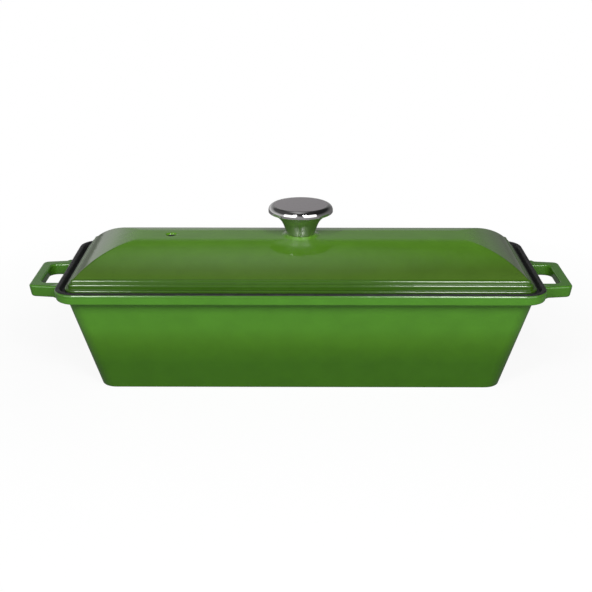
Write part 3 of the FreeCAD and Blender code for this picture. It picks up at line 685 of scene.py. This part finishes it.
def make_knob(materials):
    """The turned knob: bore, foot, tapered satin stem, hollow neck, polished rim and flat brushed top."""
    rim = KNOB_RADIUS - KNOB_BEAD
    bead_z = KNOB_TOP_Z - KNOB_BEAD
    across = np.array([math.cos(KNOB_FLARE), math.sin(KNOB_FLARE)])
    upward = np.array([math.sin(KNOB_TAPER), math.cos(KNOB_TAPER)])
    side_top = np.array([KNOB_RADIUS, bead_z])
    side_foot = np.array([KNOB_RADIUS, bead_z - KNOB_SIDE])
    foot = np.array([KNOB_FOOT, SEAT_Z])
    gap = side_foot - foot
    climb = (gap[0] * across[1] - gap[1] * across[0]) / (upward[0] * across[1] - upward[1] * across[0])
    meeting = foot + upward * climb
    section = [(BORE_RADIUS, SEAT_Z + BORE_DEPTH, POLISHED), (BORE_RADIUS, SEAT_Z, POLISHED)]
    foot_arc = arc_between((BORE_RADIUS, SEAT_Z), foot, meeting, *KNOB_FOOT_EDGE)
    section.extend((radius, height, SATIN) for radius, height in foot_arc)
    neck_arc = arc_between(foot, meeting, side_foot, *KNOB_NECK)
    section.extend((radius, height, SATIN) for radius, height in neck_arc)
    edge_arc = arc_between(meeting, side_foot, side_top, *KNOB_EDGE)
    section.extend((radius, height, POLISHED) for radius, height in edge_arc)
    steps = 24
    for step in range(steps + 1):
        angle = math.pi / 2 * step / steps
        out, up = KNOB_BEAD * math.cos(angle), KNOB_BEAD * math.sin(angle)
        section.append((rim + out, bead_z + up, POLISHED))
    section[-1] = section[-1][:2] + (BRUSHED,)
    for share in TOP_RINGS:
        section.append((rim * share, KNOB_TOP_Z, BRUSHED))
    skin = Skin()
    turn_section(skin, section, KNOB_SIDES)
    knob = skin.build("knob_turned", materials)
    weigh_normals(knob)
    return knob


def new_material(name):
    """A material with its nodes, links and shader, and the place on the object in metres."""
    material = bpy.data.materials.new(name)
    material.use_nodes = True
    nodes, links = material.node_tree.nodes, material.node_tree.links
    shader = nodes["Principled BSDF"]
    place = nodes.new("ShaderNodeTexCoord")
    return material, nodes, links, shader, place.outputs["Object"]


def add_noise(nodes, links, place, scale, detail=3.0, roughness=0.5):
    noise = nodes.new("ShaderNodeTexNoise")
    noise.inputs["Scale"].default_value = scale
    noise.inputs["Detail"].default_value = detail
    noise.inputs["Roughness"].default_value = roughness
    links.new(place, noise.inputs["Vector"])
    return noise.outputs["Fac"]


def add_range(nodes, links, source, low, high, new_low, new_high):
    """Maps low to high onto new_low to new_high, and clamps what lies outside."""
    spread_node = nodes.new("ShaderNodeMapRange")
    spread_node.inputs["From Min"].default_value = low
    spread_node.inputs["From Max"].default_value = high
    spread_node.inputs["To Min"].default_value = new_low
    spread_node.inputs["To Max"].default_value = new_high
    links.new(source, spread_node.inputs["Value"])
    return spread_node.outputs["Result"]


def add_noise_range(nodes, links, noise, new_low, new_high):
    return add_range(nodes, links, noise, NOISE_LOW, NOISE_HIGH, new_low, new_high)


def add_length(nodes, links, vector):
    length = nodes.new("ShaderNodeVectorMath")
    length.operation = "LENGTH"
    links.new(vector, length.inputs[0])
    return length.outputs["Value"]


def add_math(nodes, links, operation, first, second):
    math_node = nodes.new("ShaderNodeMath")
    math_node.operation = operation
    links.new(first, math_node.inputs[0])
    links.new(second, math_node.inputs[1])
    return math_node.outputs["Value"]


def add_ramp(nodes, links, source, stops):
    ramp = nodes.new("ShaderNodeValToRGB")
    elements = ramp.color_ramp.elements
    while len(elements) < len(stops):
        elements.new(0.5)
    for element, (position, colour) in zip(elements, stops):
        element.position = position
        element.color = (*colour, 1)
    links.new(source, ramp.inputs["Fac"])
    return ramp.outputs["Color"]


def add_bump(nodes, links, shader, heights):
    """Bumps laid one on another: each is a height and how deep it is in metres."""
    normal = None
    for height, depth in heights:
        bump = nodes.new("ShaderNodeBump")
        bump.inputs["Strength"].default_value = 1.0
        bump.inputs["Distance"].default_value = depth
        links.new(height, bump.inputs["Height"])
        if normal is not None:
            links.new(normal, bump.inputs["Normal"])
        normal = bump.outputs["Normal"]
    links.new(normal, shader.inputs["Normal"])


def green_enamel(name, shaded_tones, gloss_range):
    """Glassy green enamel with painted shade and reflection: its colour changes with the height in mm and
    darkens on the handles.
    """
    material, nodes, links, shader, place = new_material(name)
    split = nodes.new("ShaderNodeSeparateXYZ")
    links.new(place, split.inputs["Vector"])
    # The colour by height carries painted shade and painted reflection
    low, high = shaded_tones[0][0], shaded_tones[-1][0]
    share = add_range(nodes, links, split.outputs["Z"], low * MM, high * MM, 0, 1)
    shaded_tone = add_ramp(nodes, links, share, [((z - low) / (high - low), colour) for z, colour in shaded_tones])
    mottle = add_noise(nodes, links, place, scale=60, detail=5, roughness=0.6)
    depth = nodes.new("ShaderNodeVectorMath")
    depth.operation = "SCALE"
    links.new(shaded_tone, depth.inputs[0])
    shade = add_noise_range(nodes, links, mottle, *MOTTLE)
    # Painted shade darkens the handles past the ends of the rim
    reach = add_math(nodes, links, "MULTIPLY", split.outputs["X"], split.outputs["X"])
    near, far = (RIM_HALF_X * MM) ** 2, ((RIM_HALF_X + HANDLE_SHADE_REACH) * MM) ** 2
    handle_shade = add_range(nodes, links, reach, near, far, 1, HANDLE_SHADE_SHARE)
    links.new(add_math(nodes, links, "MULTIPLY", shade, handle_shade), depth.inputs["Scale"])
    links.new(depth.outputs["Vector"], shader.inputs["Base Color"])
    gloss = add_noise(nodes, links, place, scale=30, detail=2)
    links.new(add_noise_range(nodes, links, gloss, *gloss_range), shader.inputs["Roughness"])
    shader.inputs["IOR"].default_value = 1.6
    waves = add_noise(nodes, links, place, scale=130, detail=1.5)
    ripples = add_noise(nodes, links, place, scale=420, detail=2)
    add_bump(nodes, links, shader, [(waves, WAVE_DEPTH), (ripples, RIPPLE_DEPTH)])
    return material


def black_enamel(name):
    """Matt black enamel with the fine grain of the casting under it."""
    material, nodes, links, shader, place = new_material(name)
    mottle = add_noise(nodes, links, place, scale=220, detail=4)
    colour = add_ramp(nodes, links, mottle, [
        (0.35, (0.012, 0.012, 0.013)),
        (0.65, (0.024, 0.024, 0.026)),
    ])
    links.new(colour, shader.inputs["Base Color"])
    gloss = add_noise(nodes, links, place, scale=300, detail=2)
    links.new(add_noise_range(nodes, links, gloss, 0.42, 0.6), shader.inputs["Roughness"])
    grain = add_noise(nodes, links, place, scale=1400)
    add_bump(nodes, links, shader, [(grain, GRAIN_DEPTH)])
    return material


def plain_steel(name, dark, light, gloss_range, smear_scale=160):
    """Steel with faint smears between two tones."""
    material, nodes, links, shader, place = new_material(name)
    shader.inputs["Metallic"].default_value = 1.0
    smears = add_noise(nodes, links, place, smear_scale)
    colour = add_ramp(nodes, links, smears, [(NOISE_LOW, dark), (NOISE_HIGH, light)])
    links.new(colour, shader.inputs["Base Color"])
    links.new(add_noise_range(nodes, links, smears, *gloss_range), shader.inputs["Roughness"])
    return material


def brushed_steel(name):
    """Steel brushed in circles about the knob's axis."""
    material, nodes, links, shader, place = new_material(name)
    shader.inputs["Metallic"].default_value = 1.0
    split = nodes.new("ShaderNodeSeparateXYZ")
    links.new(place, split.inputs["Vector"])
    flat = nodes.new("ShaderNodeCombineXYZ")
    links.new(split.outputs["X"], flat.inputs["X"])
    links.new(split.outputs["Y"], flat.inputs["Y"])
    rings = nodes.new("ShaderNodeCombineXYZ")
    links.new(add_length(nodes, links, flat.outputs["Vector"]), rings.inputs["X"])
    lines = add_noise(nodes, links, rings.outputs["Vector"], scale=5000)
    colour = add_ramp(nodes, links, lines, [
        (NOISE_LOW, (0.82, 0.77, 0.80)),
        (NOISE_HIGH, (0.94, 0.89, 0.92)),
    ])
    links.new(colour, shader.inputs["Base Color"])
    links.new(add_noise_range(nodes, links, lines, 0.26, 0.36), shader.inputs["Roughness"])
    add_bump(nodes, links, shader, [(lines, BRUSH_DEPTH)])
    return material


def make_camera():
    data = bpy.data.cameras.new("camera")
    data.sensor_width = SENSOR
    data.lens = FOCAL_PIXELS / PHOTO_SIDE * SENSOR
    data.clip_start, data.clip_end = 0.01, 50
    camera = bpy.data.objects.new("camera", data)
    camera.location = Vector(CAMERA_PLACE) * MM
    camera.rotation_euler = Euler((math.radians(90 - CAMERA_DOWN), 0, math.radians(CAMERA_TURN)))
    bpy.context.collection.objects.link(camera)
    bpy.context.scene.camera = camera


def add_softbox(name, place, size, watts):
    data = bpy.data.lights.new(name, "AREA")
    data.shape = "RECTANGLE"
    data.size, data.size_y = size
    data.energy = watts
    light = bpy.data.objects.new(name, data)
    light.location = place
    aim = Vector(SOFTBOX_TARGET) - Vector(place)
    light.rotation_mode = "QUATERNION"
    light.rotation_quaternion = aim.to_track_quat("-Z", "Y")
    bpy.context.collection.objects.link(light)


def make_floor():
    """A pale floor that keeps the object's shadow and fades to white away from it."""
    bpy.ops.mesh.primitive_plane_add(size=PAPER_SIDE, location=(0, 0, 0))
    floor = bpy.context.object
    floor.name = "floor"
    material = bpy.data.materials.new("floor_paper")
    material.use_nodes = True
    nodes, links = material.node_tree.nodes, material.node_tree.links
    shader = nodes["Principled BSDF"]
    shader.inputs["Roughness"].default_value = 0.9
    shader.inputs["Specular IOR Level"].default_value = 0.0
    path = nodes.new("ShaderNodeLightPath")
    mix = nodes.new("ShaderNodeMix")
    mix.data_type = "RGBA"
    mix.inputs["A"].default_value = (PAPER_LIT, PAPER_LIT, PAPER_LIT, 1)
    mix.inputs["B"].default_value = (PAPER_SEEN, PAPER_SEEN, PAPER_SEEN, 1)
    links.new(path.outputs["Is Camera Ray"], mix.inputs["Factor"])
    links.new(mix.outputs["Result"], shader.inputs["Base Color"])
    place = nodes.new("ShaderNodeTexCoord")
    distance = add_length(nodes, links, place.outputs["Object"])
    amount = nodes.new("ShaderNodeMix")
    links.new(path.outputs["Is Camera Ray"], amount.inputs["Factor"])
    links.new(add_range(nodes, links, distance, *GLOSS_FADE), amount.inputs["A"])
    links.new(add_range(nodes, links, distance, *CAMERA_FADE), amount.inputs["B"])
    seen = add_math(nodes, links, "MAXIMUM", path.outputs["Is Camera Ray"], path.outputs["Is Glossy Ray"])
    share = add_math(nodes, links, "MULTIPLY", amount.outputs["Result"], seen)
    white = nodes.new("ShaderNodeEmission")
    join = nodes.new("ShaderNodeMixShader")
    links.new(share, join.inputs["Fac"])
    links.new(shader.outputs["BSDF"], join.inputs[1])
    links.new(white.outputs["Emission"], join.inputs[2])
    links.new(join.outputs["Shader"], nodes["Material Output"].inputs["Surface"])
    floor.data.materials.append(material)


def make_world():
    """White to the camera and dim to matt surfaces.

    Glossy surfaces see a pale band, brighter on the left and fading upward, and a soft glow overhead.
    """
    world = bpy.data.worlds.new("studio")
    bpy.context.scene.world = world
    world.use_nodes = True
    nodes, links = world.node_tree.nodes, world.node_tree.links
    background = nodes["Background"]
    background.inputs["Color"].default_value = (1, 1, 1, 1)
    direction = nodes.new("ShaderNodeTexCoord")
    split = nodes.new("ShaderNodeSeparateXYZ")
    links.new(direction.outputs["Generated"], split.inputs["Vector"])
    stops = [(height, (strength, strength, strength)) for height, strength in BAND]
    band = add_ramp(nodes, links, split.outputs["Z"], stops)
    brighter_left = add_range(nodes, links, split.outputs["X"], *BAND_SIDES)
    band = add_math(nodes, links, "MULTIPLY", band, brighter_left)
    offset = nodes.new("ShaderNodeVectorMath")
    offset.operation = "SUBTRACT"
    offset.inputs[1].default_value = GLOW_PLACE
    links.new(direction.outputs["Generated"], offset.inputs[0])
    squeeze = nodes.new("ShaderNodeVectorMath")
    squeeze.operation = "MULTIPLY"
    squeeze.inputs[1].default_value = (1 / GLOW_HALF_WIDTHS[0], 1 / GLOW_HALF_WIDTHS[1], 0.0)
    links.new(offset.outputs["Vector"], squeeze.inputs[0])
    reach = add_length(nodes, links, squeeze.outputs["Vector"])
    overhead = add_range(nodes, links, split.outputs["Z"], *GLOW_HEIGHTS)
    glow = add_range(nodes, links, reach, *GLOW_FADE)
    band = add_math(nodes, links, "ADD", band, add_math(nodes, links, "MULTIPLY", glow, overhead))
    path = nodes.new("ShaderNodeLightPath")
    glossy = nodes.new("ShaderNodeMix")
    glossy.inputs["A"].default_value = WORLD_FILL
    links.new(path.outputs["Is Glossy Ray"], glossy.inputs["Factor"])
    links.new(band, glossy.inputs["B"])
    seen = nodes.new("ShaderNodeMix")
    seen.inputs["B"].default_value = 1.0
    links.new(path.outputs["Is Camera Ray"], seen.inputs["Factor"])
    links.new(glossy.outputs["Result"], seen.inputs["A"])
    links.new(seen.outputs["Result"], background.inputs["Strength"])


def make_lights():
    """Two wide panels in front with a gap between them, and a narrow strip above the inner edge of each."""
    for name, place, size, watts in SOFTBOXES:
        add_softbox(name, place, size, watts)


make_camera()
make_floor()
make_world()
make_lights()

dull_black = black_enamel("black_enamel")
pan_green = green_enamel("pan_green_enamel", PAN_TONES_WITH_PAINTED_SHADE, (0.13, 0.19))
lid_green = green_enamel("lid_green_enamel", LID_TONES_WITH_PAINTED_LIGHT, (0.07, 0.12))
pan = make_pan([pan_green, dull_black])
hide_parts("pan")
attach(pan, "root")

lid = make_lid([lid_green, dull_black])
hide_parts("lid")
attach(lid, "root")

knob = make_knob([
    plain_steel("polished_steel", (0.62, 0.61, 0.61), (0.70, 0.69, 0.69), (0.04, 0.08)),
    brushed_steel("brushed_steel"),
    plain_steel("satin_steel", (0.40, 0.41, 0.39), (0.48, 0.49, 0.47), (0.32, 0.40)),
])
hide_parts("knob")
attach(knob, "root")

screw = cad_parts["knob_screw"]
screw.data.materials.clear()
screw.data.materials.append(
    plain_steel("machined_steel", (0.45, 0.45, 0.46), (0.55, 0.55, 0.56), (0.22, 0.36), smear_scale=400))

bpy.context.scene.view_settings.view_transform = "Standard"
